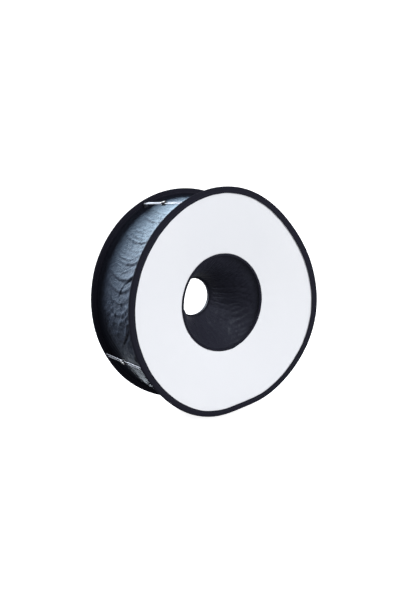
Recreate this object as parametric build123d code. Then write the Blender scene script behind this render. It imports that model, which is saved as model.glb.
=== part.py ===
from build123d import *
from math import cos, radians
import os

# Collapsible round ring softbox for a camera flash.
#
# Two spring-steel hoops carry a drum of cloth. The front is a dished white diffuser with a round hole, a black
# funnel runs from that hole back to an elastic lens collar, and the flash head goes in through a sleeve
# above the collar. Four folding struts hold the hoops apart: each is two long wire loops on the pins of a knuckle.
#
# Frame: millimetres, +Z up, +Y along the lens axis towards the camera. The origin is the middle of the collar.
# Every ring is a profile in (radius, y) turned about Y. A strut is drawn at the top of the hoops, where
# tangential is X, axial is Y and radial is Z, and then turned about Y to its own angle.

# Hoops and their cloth binding
RIM_RADIUS = 225.0  # outside of the binding
HOOP_SPACING = 156.0  # between the two hoops' middle planes
REAR_Y = 21.0  # the rear hoop's middle plane
FRONT_Y = REAR_Y - HOOP_SPACING
RIM_TAPE_WIDTH = 12.5  # how far the binding reaches inwards over the cloth
RIM_TAPE_HEIGHT = 7.0  # along Y
TAPE = 0.8  # thickness of the binding tape
BAND_WIDTH = 3.6  # the flat spring steel, along Y
BAND_THICKNESS = 1.0
HOOP_GAP_DEG = 0.5  # between the two ends of a hoop
FERRULE_DEG = 8.0
FERRULE_WALL = 0.4
FERRULE_CLEARANCE = 0.05
HOOP_JOINT_ANGLE = -81.0  # where the ends of both hoops meet, from +X towards +Z

# Cloth
CLOTH = 0.6
LINING_GAP = 0.3  # between a cloth and its lining
SEAM_RADIUS = 217.0  # how far the seam allowances reach into the rim's binding
EDGE_RADIUS = 211.5  # where the cloth leaves the rim's binding
WAIST_RADIUS = 202.0  # the side wall between the hoops
FRONT_DISH = 26.0  # how far the middle of the diffuser is drawn back

# Front hole
HOLE_TAPE_RADIUS = 98.0  # outer edge of the hole's binding
HOLE_RADIUS = 92.3
HOLE_TAPE_HEIGHT = 4.4
HOLE_TAPE = 0.6
HOLE_WIRE_RADIUS = 1.25
HOLE_Y = FRONT_Y + FRONT_DISH
HOLE_JOINT_ANGLE = -75.0
HOLE_FERRULE_DEG = 14.0

# Lens collar
LENS_RADIUS = 39.0
COLLAR_LENGTH = 9.0
COLLAR_WALL = 4.0
COLLAR_CLOTH = 0.8
ELASTIC = 1.6
ELASTIC_WIDTH = 5.5

# Flash sleeve, above the collar
SLEEVE_Z = 128.0
SLEEVE_WIDTH = 84.0
SLEEVE_HEIGHT = 60.0
SLEEVE_CORNER = 9.0
SLEEVE_START = 3.5
SLEEVE_END = 52.0
STRAP_WIDTH = 25.0
STRAP = 1.6
STRAP_GAP = 0.2
STRAP_TAIL = 46.0

# Struts
STRUT_ANGLES = (118.0, 208.0, 298.0, 28.0)  # from +X towards +Z
STRUT_RADIUS = 221.7  # the plane that the wire loops lie in
WIRE_RADIUS = 1.0
EYE_RADIUS = 1.35  # inside of the loop at a pin
PIN_RADIUS = 1.28
PIVOT_INSET = 7.5  # from a hoop's middle plane to the strut's pin
KNUCKLE_PINS = 10.0  # between the knuckle's two pins
LINK_LENGTH = (HOOP_SPACING - 2 * PIVOT_INSET - KNUCKLE_PINS) / 2
FOLD_LIMIT_DEG = 73.0
LOOP_GAP = 0.15  # on each side of a loop in the knuckle
CLEVIS_HEIGHT = 5.3
CLEVIS_WIDTH = 7.4
FORK_HEIGHT = 6.3
FORK_WIDTH = 8.4
WEB_HALF = 1.4  # half of the solid middle between the two forks
JOIN_Y = -0.2  # where the metal clevis meets the black fork, from the knuckle's middle
HEAD_RADIUS = 2.4
HEAD_HEIGHT = 1.2
RIVET_GAP = 0.2
BRACKET_FOOT_RADIUS = 213.2
BRACKET_WIDTH = 7.8
BRACKET = 1.2


def turned(profile, angle=360.0, middle=0.0):
    """A profile in (radius, y) turned about Y through angle, its middle at the stated angle from +X to +Z."""
    solid = revolve(profile, Axis.Y, angle)
    if angle >= 360.0:
        return solid
    # A positive turn about Y runs from +X towards -Z.
    return Rot(0, -middle - angle / 2, 0) * solid


def rectangle(r_low, r_high, y_low, y_high):
    """A rectangle in the (radius, y) plane."""
    middle = Pos((r_low + r_high) / 2, (y_low + y_high) / 2)
    return middle * Rectangle(r_high - r_low, y_high - y_low)


def polygon(*points):
    """A closed polygon in the (radius, y) plane."""
    return make_face(Polyline(*points, close=True))


def folded_tape(fold_radius, edge_radius, y, height, tape):
    """Section of a tape folded round a hoop: a half ring at fold_radius and two flanges out to edge_radius."""
    inside = edge_radius - 1.0 if edge_radius < fold_radius else edge_radius + 1.0
    low, high = sorted((fold_radius, edge_radius))
    in_low, in_high = sorted((fold_radius, inside))
    outer = rectangle(low, high, y - height / 2, y + height / 2) + Pos(fold_radius, y) * Circle(height / 2)
    half = height / 2 - tape
    inner = rectangle(in_low, in_high, y - half, y + half) + Pos(fold_radius, y) * Circle(half)
    return outer - inner


# ---- hoops -------------------------------------------------------------------------------------------

RIM_FOLD_RADIUS = RIM_RADIUS - RIM_TAPE_HEIGHT / 2
HOLE_FOLD_RADIUS = HOLE_RADIUS + HOLE_TAPE_HEIGHT / 2


def rim_hoop(y):
    """Flat spring-steel band, bent to a hoop with its two ends nearly touching."""
    r_half = BAND_THICKNESS / 2
    y_half = BAND_WIDTH / 2
    section = rectangle(RIM_FOLD_RADIUS - r_half, RIM_FOLD_RADIUS + r_half, y - y_half, y + y_half)
    return turned(section, 360.0 - HOOP_GAP_DEG, HOOP_JOINT_ANGLE + 180.0)


def rim_ferrule(y):
    """Flat steel tube crimped over the hoop's two ends."""
    r_half = BAND_THICKNESS / 2 + FERRULE_CLEARANCE
    y_half = BAND_WIDTH / 2 + FERRULE_CLEARANCE
    outer = rectangle(
        RIM_FOLD_RADIUS - r_half - FERRULE_WALL,
        RIM_FOLD_RADIUS + r_half + FERRULE_WALL,
        y - y_half - FERRULE_WALL,
        y + y_half + FERRULE_WALL,
    )
    inner = rectangle(RIM_FOLD_RADIUS - r_half, RIM_FOLD_RADIUS + r_half, y - y_half, y + y_half)
    return turned(outer - inner, FERRULE_DEG, HOOP_JOINT_ANGLE)


def rim_binding(y):
    """Black tape folded over the hoop and the edges of the cloth."""
    return turned(folded_tape(RIM_FOLD_RADIUS, RIM_RADIUS - RIM_TAPE_WIDTH, y, RIM_TAPE_HEIGHT, TAPE))


def hole_hoop():
    """Round wire that keeps the front hole's shape."""
    section = Pos(HOLE_FOLD_RADIUS, HOLE_Y) * Circle(HOLE_WIRE_RADIUS)
    return turned(section, 360.0 - 2 * HOOP_GAP_DEG, HOLE_JOINT_ANGLE + 180.0)


def hole_hoop_ferrule():
    """Small tube over the ends of the hole's wire."""
    bore = HOLE_WIRE_RADIUS + 0.03
    section = Circle(bore + 0.25) - Circle(bore)
    return turned(Pos(HOLE_FOLD_RADIUS, HOLE_Y) * section, HOLE_FERRULE_DEG, HOLE_JOINT_ANGLE)


def hole_binding():
    """Narrow tape folded over the hole's wire and the inner edge of the diffuser."""
    return turned(folded_tape(HOLE_FOLD_RADIUS, HOLE_TAPE_RADIUS, HOLE_Y, HOLE_TAPE_HEIGHT, HOLE_TAPE))


# ---- cloth -------------------------------------------------------------------------------------------


def side_skin(outside_offset, lip_offset, thickness):
    """The drum between the hoops, waisted, with a lip that turns into each rim binding."""
    front, rear = FRONT_Y + lip_offset, REAR_Y - lip_offset
    middle = (front + rear) / 2
    edge, waist = EDGE_RADIUS - outside_offset, WAIST_RADIUS - outside_offset
    inner_edge, inner_waist = edge - thickness, waist - thickness
    return turned(
        make_face(
            [
                Line((SEAM_RADIUS, front), (inner_edge, front)),
                ThreePointArc((inner_edge, front), (inner_waist, middle), (inner_edge, rear)),
                Line((inner_edge, rear), (SEAM_RADIUS, rear)),
                Line((SEAM_RADIUS, rear), (SEAM_RADIUS, rear - thickness)),
                Line((SEAM_RADIUS, rear - thickness), (edge, rear - thickness)),
                ThreePointArc((edge, rear - thickness), (waist, middle), (edge, front + thickness)),
                Line((edge, front + thickness), (SEAM_RADIUS, front + thickness)),
                Line((SEAM_RADIUS, front + thickness), (SEAM_RADIUS, front)),
            ]
        )
    )


def side_wall():
    return side_skin(0.0, 0.9, CLOTH)


def side_lining():
    return side_skin(CLOTH + LINING_GAP, 0.1, CLOTH * 0.8)


def dished_skin(outer, inner, thickness):
    """A shallow cone of cloth whose rim lies flat in the binding. outer and inner are (radius, y)."""
    (r_out, y_out), (r_in, y_in) = outer, inner
    return turned(
        polygon(
            (SEAM_RADIUS, y_out),
            (r_out, y_out),
            (r_in, y_in),
            (r_in, y_in + thickness),
            (r_out, y_out + thickness),
            (SEAM_RADIUS, y_out + thickness),
        )
    )


def front_diffuser():
    """White cloth ring, drawn back towards the hole; its inner edge lies in the hole's binding."""
    return dished_skin((EDGE_RADIUS, FRONT_Y - 2.2), (HOLE_FOLD_RADIUS + 2.6, HOLE_Y - 1.2), CLOTH)


def sleeve_hole(gap):
    """The slug that opens a rear cloth for the flash sleeve, with a gap all round."""
    corner = SLEEVE_CORNER + gap
    outline = RectangleRounded(SLEEVE_WIDTH + 2 * gap, SLEEVE_HEIGHT + 2 * gap, corner)
    return Pos(0, -40, SLEEVE_Z) * Rot(-90, 0, 0) * extrude(outline, 120)


def rear_panel():
    """Black rear cloth, drawn forward to the lens collar."""
    collar_edge = LENS_RADIUS + COLLAR_WALL + 0.1
    return dished_skin((EDGE_RADIUS, REAR_Y + 1.2), (collar_edge, 1.0), CLOTH) - sleeve_hole(0.1)


def rear_lining():
    """Silver cloth on the inner face of the rear panel."""
    collar_edge = LENS_RADIUS + COLLAR_WALL + 0.1
    drop = CLOTH + LINING_GAP
    skin = dished_skin((EDGE_RADIUS, REAR_Y + 1.2 - drop), (collar_edge, 1.0 - drop), CLOTH * 0.8)
    return skin - sleeve_hole(0.1)


def funnel_skin(offset, thickness):
    """Cone from the hole's binding to the mouth of the lens collar. offset moves it outwards from the lens."""
    seam_r = HOLE_FOLD_RADIUS + 2.6
    front = HOLE_Y + 0.6 - offset * 0.6
    turn = HOLE_Y + 3.1
    start_r = HOLE_TAPE_RADIUS + 0.8 + offset
    end_r = LENS_RADIUS + 1.2 + offset
    mouth = -COLLAR_LENGTH / 2
    return turned(
        polygon(
            (seam_r, front),
            (start_r + thickness, front),
            (start_r + thickness, turn),
            (end_r + thickness, mouth - 1.0),
            (end_r + thickness, mouth + 1.8),
            (end_r, mouth + 1.8),
            (end_r, mouth - 1.2),
            (start_r, turn - 0.2),
            (start_r, front + thickness * 0.8),
            (seam_r, front + thickness * 0.8),
        )
    )


def funnel():
    return funnel_skin(0.0, 0.5)


def funnel_lining():
    return funnel_skin(0.8, 0.4)


# ---- lens collar and flash sleeve --------------------------------------------------------------------


def lens_collar():
    """Hem that grips the lens: a cloth channel, open towards the front, with the elastic in it."""
    half = COLLAR_LENGTH / 2
    outer = rectangle(LENS_RADIUS, LENS_RADIUS + COLLAR_WALL, -half, half)
    low, high = LENS_RADIUS + COLLAR_CLOTH, LENS_RADIUS + COLLAR_WALL - COLLAR_CLOTH
    channel = rectangle(low, high, -half - 1.0, half - COLLAR_CLOTH)
    return turned(outer - channel)


def lens_collar_elastic():
    middle = LENS_RADIUS + COLLAR_WALL / 2
    start = COLLAR_LENGTH / 2 - COLLAR_CLOTH - ELASTIC_WIDTH - 0.2
    return turned(rectangle(middle - ELASTIC / 2, middle + ELASTIC / 2, start, start + ELASTIC_WIDTH))


def rounded_tube(offset, wall, y_low, y_high):
    """A tube round the flash opening, its inside offset outwards from the sleeve's outside."""
    def outline(grow):
        return RectangleRounded(SLEEVE_WIDTH + 2 * grow, SLEEVE_HEIGHT + 2 * grow, SLEEVE_CORNER + grow)

    section = outline(offset + wall) - outline(offset)
    return Pos(0, y_low, SLEEVE_Z) * Rot(-90, 0, 0) * extrude(section, y_high - y_low)


def flash_sleeve():
    return rounded_tube(-TAPE, TAPE, SLEEVE_START, SLEEVE_END)


def flash_strap():
    """Hook-and-loop strap round the end of the sleeve."""
    middle = SLEEVE_END - 4.0 - STRAP_WIDTH / 2
    return rounded_tube(STRAP_GAP, STRAP, middle - STRAP_WIDTH / 2, middle + STRAP_WIDTH / 2)


def flash_strap_tail():
    """The strap's free end, folded back on top of itself."""
    middle = SLEEVE_END - 4.0 - STRAP_WIDTH / 2
    bottom = SLEEVE_Z + SLEEVE_HEIGHT / 2 + STRAP_GAP + STRAP + 0.1
    tail = Box(STRAP_TAIL, STRAP_WIDTH - 1.0, STRAP, align=(Align.CENTER, Align.CENTER, Align.MIN))
    tail = fillet(tail.edges().filter_by(Axis.Z), 4.0)
    return Pos(6.0, middle, bottom) * tail


# ---- struts ------------------------------------------------------------------------------------------


def at_angle(shape, angle):
    """Moves a shape drawn at the top of the hoops to that angle, from +X towards +Z."""
    return Rot(0, 90.0 - angle, 0) * shape


def wire_loop(y_middle):
    """A long closed loop of wire, its two eyes round pins LINK_LENGTH apart, along Y."""
    bend = EYE_RADIUS + WIRE_RADIUS
    half = LINK_LENGTH / 2
    path = Wire(
        [
            Line((bend, -half, 0), (bend, half, 0)),
            ThreePointArc((bend, half, 0), (0, half + bend, 0), (-bend, half, 0)),
            Line((-bend, half, 0), (-bend, -half, 0)),
            ThreePointArc((-bend, -half, 0), (0, -half - bend, 0), (bend, -half, 0)),
        ]
    )
    section = Plane(origin=(bend, -half, 0), z_dir=(0, 1, 0)) * Circle(WIRE_RADIUS)
    return Pos(0, y_middle, STRUT_RADIUS) * sweep(section, path=path)


def post(radius, z_low, z_high, y):
    """A radial cylinder, at the top of the hoops."""
    return Pos(0, y, (z_low + z_high) / 2) * Cylinder(radius, z_high - z_low)


def slab(width, y_low, y_high, z_low, z_high):
    """A box across X, at the top of the hoops."""
    box = Box(width, y_high - y_low, z_high - z_low)
    return Pos(0, (y_low + y_high) / 2, (z_low + z_high) / 2) * box


def domed_head(y, z):
    """A rivet head whose flat side is at height z."""
    head = Pos(0, y, z + HEAD_HEIGHT / 2) * Cylinder(HEAD_RADIUS, HEAD_HEIGHT)
    return fillet(head.edges().sort_by(Axis.Z)[-1], HEAD_HEIGHT * 0.8)


KNUCKLE_Y = (REAR_Y + FRONT_Y) / 2
LAYER_HALF = WIRE_RADIUS + LOOP_GAP


def fork(width, height, side):
    """Rounded fork that holds one wire loop's pin, with a slot for the loop. side is 1 rear, -1 front."""
    pin_y = KNUCKLE_Y + side * KNUCKLE_PINS / 2
    low, high = STRUT_RADIUS - height / 2, STRUT_RADIUS + height / 2
    ends = sorted((KNUCKLE_Y + JOIN_Y, pin_y))
    body = slab(width, *ends, low, high) + post(width / 2, low, high, pin_y)
    body = fillet(body.faces().sort_by(Axis.Z)[-1].edges(), 0.5)
    slot = sorted((KNUCKLE_Y + side * WEB_HALF, pin_y + side * width))
    body -= slab(width + 2, *slot, STRUT_RADIUS - LAYER_HALF, STRUT_RADIUS + LAYER_HALF)
    return body - post(PIN_RADIUS, low - 1, high + 1, pin_y)


def tongue():
    """Short tongue on the clevis, which the black fork is moulded round."""
    return slab(4.0, KNUCKLE_Y + JOIN_Y - 0.8, KNUCKLE_Y + JOIN_Y, STRUT_RADIUS - 1.0, STRUT_RADIUS + 1.0)


def strut_clevis():
    """Bright metal fork on the rear loop's pin."""
    return fork(CLEVIS_WIDTH, CLEVIS_HEIGHT, 1) + tongue()


def strut_knuckle():
    """Black moulded fork on the front loop's pin."""
    return fork(FORK_WIDTH, FORK_HEIGHT, -1) - tongue()


def strut_pins():
    """The knuckle's two rivets: a flush one in the clevis and a headed one in the black fork."""
    rear_y, front_y = KNUCKLE_Y + KNUCKLE_PINS / 2, KNUCKLE_Y - KNUCKLE_PINS / 2
    rear = post(PIN_RADIUS, STRUT_RADIUS - CLEVIS_HEIGHT / 2, STRUT_RADIUS + CLEVIS_HEIGHT / 2, rear_y)
    top = STRUT_RADIUS + FORK_HEIGHT / 2
    front = post(PIN_RADIUS, STRUT_RADIUS - FORK_HEIGHT / 2, top, front_y) + domed_head(front_y, top)
    return [rear, front]


BRACKET_TOP = STRUT_RADIUS - WIRE_RADIUS - RIVET_GAP


def strut_bracket(hoop_y, inboard):
    """Steel angle on the inboard flange of a rim binding. inboard is the sign of y towards the other hoop."""
    flange = hoop_y + inboard * RIM_TAPE_HEIGHT / 2
    pin_y = hoop_y + inboard * PIVOT_INSET
    plate = slab(BRACKET_WIDTH, *sorted((flange, pin_y)), BRACKET_TOP - BRACKET, BRACKET_TOP)
    plate += post(BRACKET_WIDTH / 2, BRACKET_TOP - BRACKET, BRACKET_TOP, pin_y)
    foot = slab(BRACKET_WIDTH, *sorted((flange, flange + inboard * BRACKET)), BRACKET_FOOT_RADIUS, BRACKET_TOP)
    return plate + foot - post(PIN_RADIUS, BRACKET_TOP - BRACKET - 1, BRACKET_TOP + 1, pin_y)


def strut_rivet(hoop_y, inboard):
    """Headed pin that holds a wire loop on its bracket."""
    pin_y = hoop_y + inboard * PIVOT_INSET
    high = STRUT_RADIUS + WIRE_RADIUS + RIVET_GAP
    return post(PIN_RADIUS, BRACKET_TOP - BRACKET, high, pin_y) + domed_head(pin_y, high)


# ---- writing the nodes -------------------------------------------------------------------------------


def write(name, *solids):
    """One STEP file for a node of one or more separate solids."""
    shape = solids[0] if len(solids) == 1 else Compound(children=list(solids))
    export_step(shape, f"parts/{name}.step")


def all_round(make, *where):
    """One copy of a small piece at each strut's angle."""
    return [at_angle(make(*where), angle) for angle in STRUT_ANGLES]


def folded_spacing():
    """Distance between the hoops' middle planes with the struts at their fold limit."""
    return 2 * LINK_LENGTH * cos(radians(FOLD_LIMIT_DEG)) + KNUCKLE_PINS + 2 * PIVOT_INSET


def main():
    os.makedirs("parts", exist_ok=True)
    for side, y, inboard in (("rear", REAR_Y, -1), ("front", FRONT_Y, 1)):
        write(f"{side}_hoop", rim_hoop(y))
        write(f"{side}_hoop_ferrule", rim_ferrule(y))
        write(f"{side}_binding", rim_binding(y))
        write(f"{side}_strut_brackets", *all_round(strut_bracket, y, inboard))
        write(f"{side}_strut_rivets", *all_round(strut_rivet, y, inboard))
    for make in (
        hole_hoop,
        hole_hoop_ferrule,
        hole_binding,
        front_diffuser,
        side_wall,
        side_lining,
        rear_panel,
        rear_lining,
        funnel,
        funnel_lining,
        lens_collar,
        lens_collar_elastic,
        flash_sleeve,
        flash_strap,
        flash_strap_tail,
    ):
        write(make.__name__, make())
    offset = (KNUCKLE_PINS + LINK_LENGTH) / 2
    for number, angle in enumerate(STRUT_ANGLES, 1):
        write(f"strut_{number}_rear_link", at_angle(wire_loop(KNUCKLE_Y + offset), angle))
        write(f"strut_{number}_front_link", at_angle(wire_loop(KNUCKLE_Y - offset), angle))
        write(f"strut_{number}_clevis", at_angle(strut_clevis(), angle))
        write(f"strut_{number}_knuckle", at_angle(strut_knuckle(), angle))
        write(f"strut_{number}_pins", *[at_angle(pin, angle) for pin in strut_pins()])
    print("link length", LINK_LENGTH, "folded hoop spacing", round(folded_spacing(), 2))


main()
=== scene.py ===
from math import cos, pi, radians, sin, sqrt, tau

import bmesh
import bpy
import numpy as np
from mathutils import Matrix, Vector, noise


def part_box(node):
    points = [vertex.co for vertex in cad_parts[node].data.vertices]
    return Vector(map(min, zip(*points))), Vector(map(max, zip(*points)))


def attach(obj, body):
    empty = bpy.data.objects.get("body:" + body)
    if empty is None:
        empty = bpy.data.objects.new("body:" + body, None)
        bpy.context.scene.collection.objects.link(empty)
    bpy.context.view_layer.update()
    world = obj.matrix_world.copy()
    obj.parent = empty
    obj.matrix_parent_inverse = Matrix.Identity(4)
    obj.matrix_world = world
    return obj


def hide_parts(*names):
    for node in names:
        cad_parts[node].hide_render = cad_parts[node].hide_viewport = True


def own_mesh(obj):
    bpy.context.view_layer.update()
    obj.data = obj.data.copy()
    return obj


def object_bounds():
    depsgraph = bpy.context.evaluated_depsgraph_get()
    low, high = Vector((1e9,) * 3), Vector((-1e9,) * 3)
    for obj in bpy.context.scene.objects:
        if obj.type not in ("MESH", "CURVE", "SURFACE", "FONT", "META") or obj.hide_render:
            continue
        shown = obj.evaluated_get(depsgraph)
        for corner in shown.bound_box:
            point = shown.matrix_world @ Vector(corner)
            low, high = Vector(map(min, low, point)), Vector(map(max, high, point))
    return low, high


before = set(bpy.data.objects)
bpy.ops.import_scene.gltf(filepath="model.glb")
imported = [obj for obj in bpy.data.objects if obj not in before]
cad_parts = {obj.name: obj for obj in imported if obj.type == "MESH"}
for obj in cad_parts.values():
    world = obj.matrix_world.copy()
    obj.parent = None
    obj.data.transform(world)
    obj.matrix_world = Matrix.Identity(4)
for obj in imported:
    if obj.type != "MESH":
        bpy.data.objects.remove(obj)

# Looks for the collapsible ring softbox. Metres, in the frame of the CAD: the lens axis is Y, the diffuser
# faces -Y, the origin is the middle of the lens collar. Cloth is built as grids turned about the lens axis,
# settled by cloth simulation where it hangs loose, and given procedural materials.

CAD_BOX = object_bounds()
MM = 0.001

# ---- sizes, read from the CAD ------------------------------------------------------------------------------

FRONT_LOW, FRONT_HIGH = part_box("front_binding")
REAR_LOW, REAR_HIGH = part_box("rear_binding")
HOLE_LOW, HOLE_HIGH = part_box("hole_binding")
COLLAR_LOW, COLLAR_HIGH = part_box("lens_collar")
SLEEVE_LOW, SLEEVE_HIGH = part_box("flash_sleeve")
STRAP_LOW, STRAP_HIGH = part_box("flash_strap")
TAIL_LOW, TAIL_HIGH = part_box("flash_strap_tail")

TAPE_WIDTH = 12.5 * MM  # from the outside of a rim to its tape's inner edge
CLOTH_UNDER_TAPE = 2.0 * MM
HOLE_TAPE_WIDTH = 3.5 * MM
COLLAR_WALL = 4.0 * MM

RIM_RADIUS = FRONT_HIGH.x
FRONT_Y = (FRONT_LOW.y + FRONT_HIGH.y) / 2
REAR_Y = (REAR_LOW.y + REAR_HIGH.y) / 2
TAPE_HALF = (FRONT_HIGH.y - FRONT_LOW.y) / 2
FOLD_RADIUS = RIM_RADIUS - TAPE_HALF
TAPE_EDGE = RIM_RADIUS - TAPE_WIDTH
CLOTH_EDGE = TAPE_EDGE + CLOTH_UNDER_TAPE
HOLE_EDGE = HOLE_HIGH.x
HOLE_Y = (HOLE_LOW.y + HOLE_HIGH.y) / 2
HOLE_HALF = (HOLE_HIGH.y - HOLE_LOW.y) / 2
HOLE_FOLD = HOLE_EDGE - HOLE_TAPE_WIDTH
COLLAR_RADIUS = COLLAR_HIGH.x
LENS_RADIUS = COLLAR_RADIUS - COLLAR_WALL

NYLON_THICKNESS = 0.35 * MM
LINING_THICKNESS = 0.25 * MM
TAUT_THICKNESS = 0.3 * MM  # the diffuser and the two rear cloths
LINING_GAP = 0.9 * MM
WEAVE_PITCH = 0.5 * MM
COLLAR_STITCH_PITCH = 2.8 * MM

# The view, from the front left and a little above. Angles in degrees.
CAMERA_AZIMUTH = -34.7
CAMERA_ELEVATION = 8.1
CAMERA_DISTANCE = 1.339
CAMERA_LENS = 39.0
CAMERA_SENSOR = 36.0
CAMERA_SHIFT = (-0.0123, -0.0015)

FRONT_BUMPS = (
    # How the front hoop stands out of round: angle in degrees, height in mm, width in degrees.
    (-81, -7.5, 11), (-56, -1.6, 9), (-13, 8.5, 19), (45, -7.6, 19),
    (96, 3.2, 22), (-112, 1.6, 12), (150, -1.2, 16),
)


# ---- small tools -------------------------------------------------------------------------------------------

def bump_at(theta, centre, height, width):
    """A smooth bump of the given height round an angle. All angles in degrees, theta an array in radians."""
    off = (np.degrees(theta) - centre + 180.0) % 360.0 - 180.0
    return height * np.exp(-0.5 * (off / width) ** 2)


def front_warp(theta):
    """The front hoop has two flats and a bulge between them."""
    return sum(bump_at(theta, *bump) for bump in FRONT_BUMPS) * MM


def rear_warp(theta):
    """The rear hoop sits a little high, and is a touch smaller than its drawing."""
    return (3.6 * np.sin(theta) - 0.4) * MM


def hole_warp(theta):
    """The hole's wire isn't quite round, and makes a small step where its ends meet."""
    return (bump_at(theta, -75, 0.9, 3) + bump_at(theta, 20, 0.6, 30) - bump_at(theta, 160, 0.5, 25)) * MM


def fractal(points, size, octaves=3, seed=0.0):
    """Smooth noise from about -1 to 1 at each point. size is the length of its waves, in metres."""
    shift = Vector((seed * 7.31, seed * 3.77, seed * 5.13))
    return np.array([
        noise.fractal(Vector(p) / size + shift, 1.0, 2.0, octaves, noise_basis="PERLIN_ORIGINAL")
        for p in points.reshape(-1, 3)
    ]).reshape(points.shape[:-1])


def creases(points, size, seed=0.0, sharp=3.0):
    """Thin raised lines, 0 to 1, as in crumpled cloth."""
    return (1.0 - np.minimum(np.abs(fractal(points, size, 2, seed)) * 2.2, 1.0)) ** sharp


def outward(grid):
    """Unit vectors straight away from the lens axis at each point."""
    return grid * np.array([1, 0, 1]) / np.linalg.norm(grid[..., ::2], axis=-1)[..., None]


def on_axis(theta, radius, y):
    """Points at angle theta from +X towards +Z, stacked as (..., 3)."""
    return np.stack([radius * np.cos(theta), y, radius * np.sin(theta)], axis=-1)


def grid_object(name, points, wrap_u=True, wrap_v=False):
    """A mesh from a grid of points (u, v, 3). Its UV map holds mean lengths in metres, for the weaves."""
    nu, nv = points.shape[:2]
    us = np.arange(nu if wrap_u else nu - 1)
    vs = np.arange(nv if wrap_v else nv - 1)
    ui, vi = (a.ravel() for a in np.meshgrid(us, vs, indexing="ij"))
    un, vn = (ui + 1) % nu, (vi + 1) % nv
    faces = np.stack([ui * nv + vi, ui * nv + vn, un * nv + vn, un * nv + vi], axis=1)
    mesh = bpy.data.meshes.new(name)
    mesh.from_pydata(points.reshape(-1, 3).tolist(), [], faces.tolist())
    closed_u = np.concatenate([points, points[:1]], axis=0)
    closed_v = np.concatenate([points, points[:, :1]], axis=1)
    step_u = np.linalg.norm(np.diff(closed_u, axis=0), axis=-1).mean(axis=1)
    step_v = np.linalg.norm(np.diff(closed_v, axis=1), axis=-1).mean(axis=0)
    along_u = np.concatenate([[0.0], np.cumsum(step_u)])
    along_v = np.concatenate([[0.0], np.cumsum(step_v)])
    corners_u = np.stack([along_u[ui], along_u[ui], along_u[ui + 1], along_u[ui + 1]], axis=1)
    corners_v = np.stack([along_v[vi], along_v[vi + 1], along_v[vi + 1], along_v[vi]], axis=1)
    uv = mesh.uv_layers.new(name="cloth")
    uv.data.foreach_set("uv", np.stack([corners_u, corners_v], axis=-1).ravel())
    mesh.polygons.foreach_set("use_smooth", [True] * len(mesh.polygons))
    mesh.update()
    piece = bpy.data.objects.new(name, mesh)
    bpy.context.collection.objects.link(piece)
    return piece


def angles(count):
    """count even steps round a circle."""
    return np.arange(count) * tau / count


def points_of(piece):
    flat = np.empty(len(piece.data.vertices) * 3)
    piece.data.vertices.foreach_get("co", flat)
    return flat.reshape(-1, 3)


def set_points(piece, points):
    piece.data.vertices.foreach_set("co", points.ravel())
    piece.data.update()


def thicken(piece, thickness, offset=0.0):
    """Gives a sheet its cloth's thickness: to both sides, or with offset -1 or 1 to one side only."""
    solid = piece.modifiers.new("cloth_thickness", "SOLIDIFY")
    solid.thickness = thickness
    solid.offset = offset
    solid.use_even_offset = False
    apply_modifiers(piece)


def apply_modifiers(piece):
    """Replaces a piece's mesh by what its modifiers make of it."""
    evaluated = piece.evaluated_get(bpy.context.evaluated_depsgraph_get())
    mesh = bpy.data.meshes.new_from_object(evaluated)
    piece.modifiers.clear()
    piece.data = mesh


def settle(piece, pinned, slack, frames, bending=0.6):
    """Cloth simulation. The sheet gets more cloth than its shape needs, by the share slack, hangs from its
    pinned rows and buckles into natural folds. The result replaces the mesh."""
    stiffness, damping, weight = 8.0, 8.0, 0.12
    group = piece.vertex_groups.new(name="pinned")
    group.add([int(i) for i in pinned], 1.0, "REPLACE")
    cloth = piece.modifiers.new("settle", "CLOTH")
    cloth.settings.vertex_group_mass = "pinned"
    cloth.settings.quality = 6
    cloth.settings.mass = weight
    cloth.settings.tension_stiffness = stiffness
    cloth.settings.compression_stiffness = stiffness
    cloth.settings.shear_stiffness = stiffness * 0.5
    cloth.settings.bending_stiffness = bending
    cloth.settings.tension_damping = damping
    cloth.settings.compression_damping = damping
    cloth.settings.air_damping = 3.0
    cloth.settings.shrink_min = -slack
    cloth.settings.shrink_max = -slack
    cloth.collision_settings.use_collision = False
    cloth.point_cache.frame_start = 1
    cloth.point_cache.frame_end = frames
    scene = bpy.context.scene
    for step in range(1, frames + 1):
        scene.frame_set(step)
    apply_modifiers(piece)
    piece.vertex_groups.clear()
    scene.frame_set(1)


# ---- node trees --------------------------------------------------------------------------------------------

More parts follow.
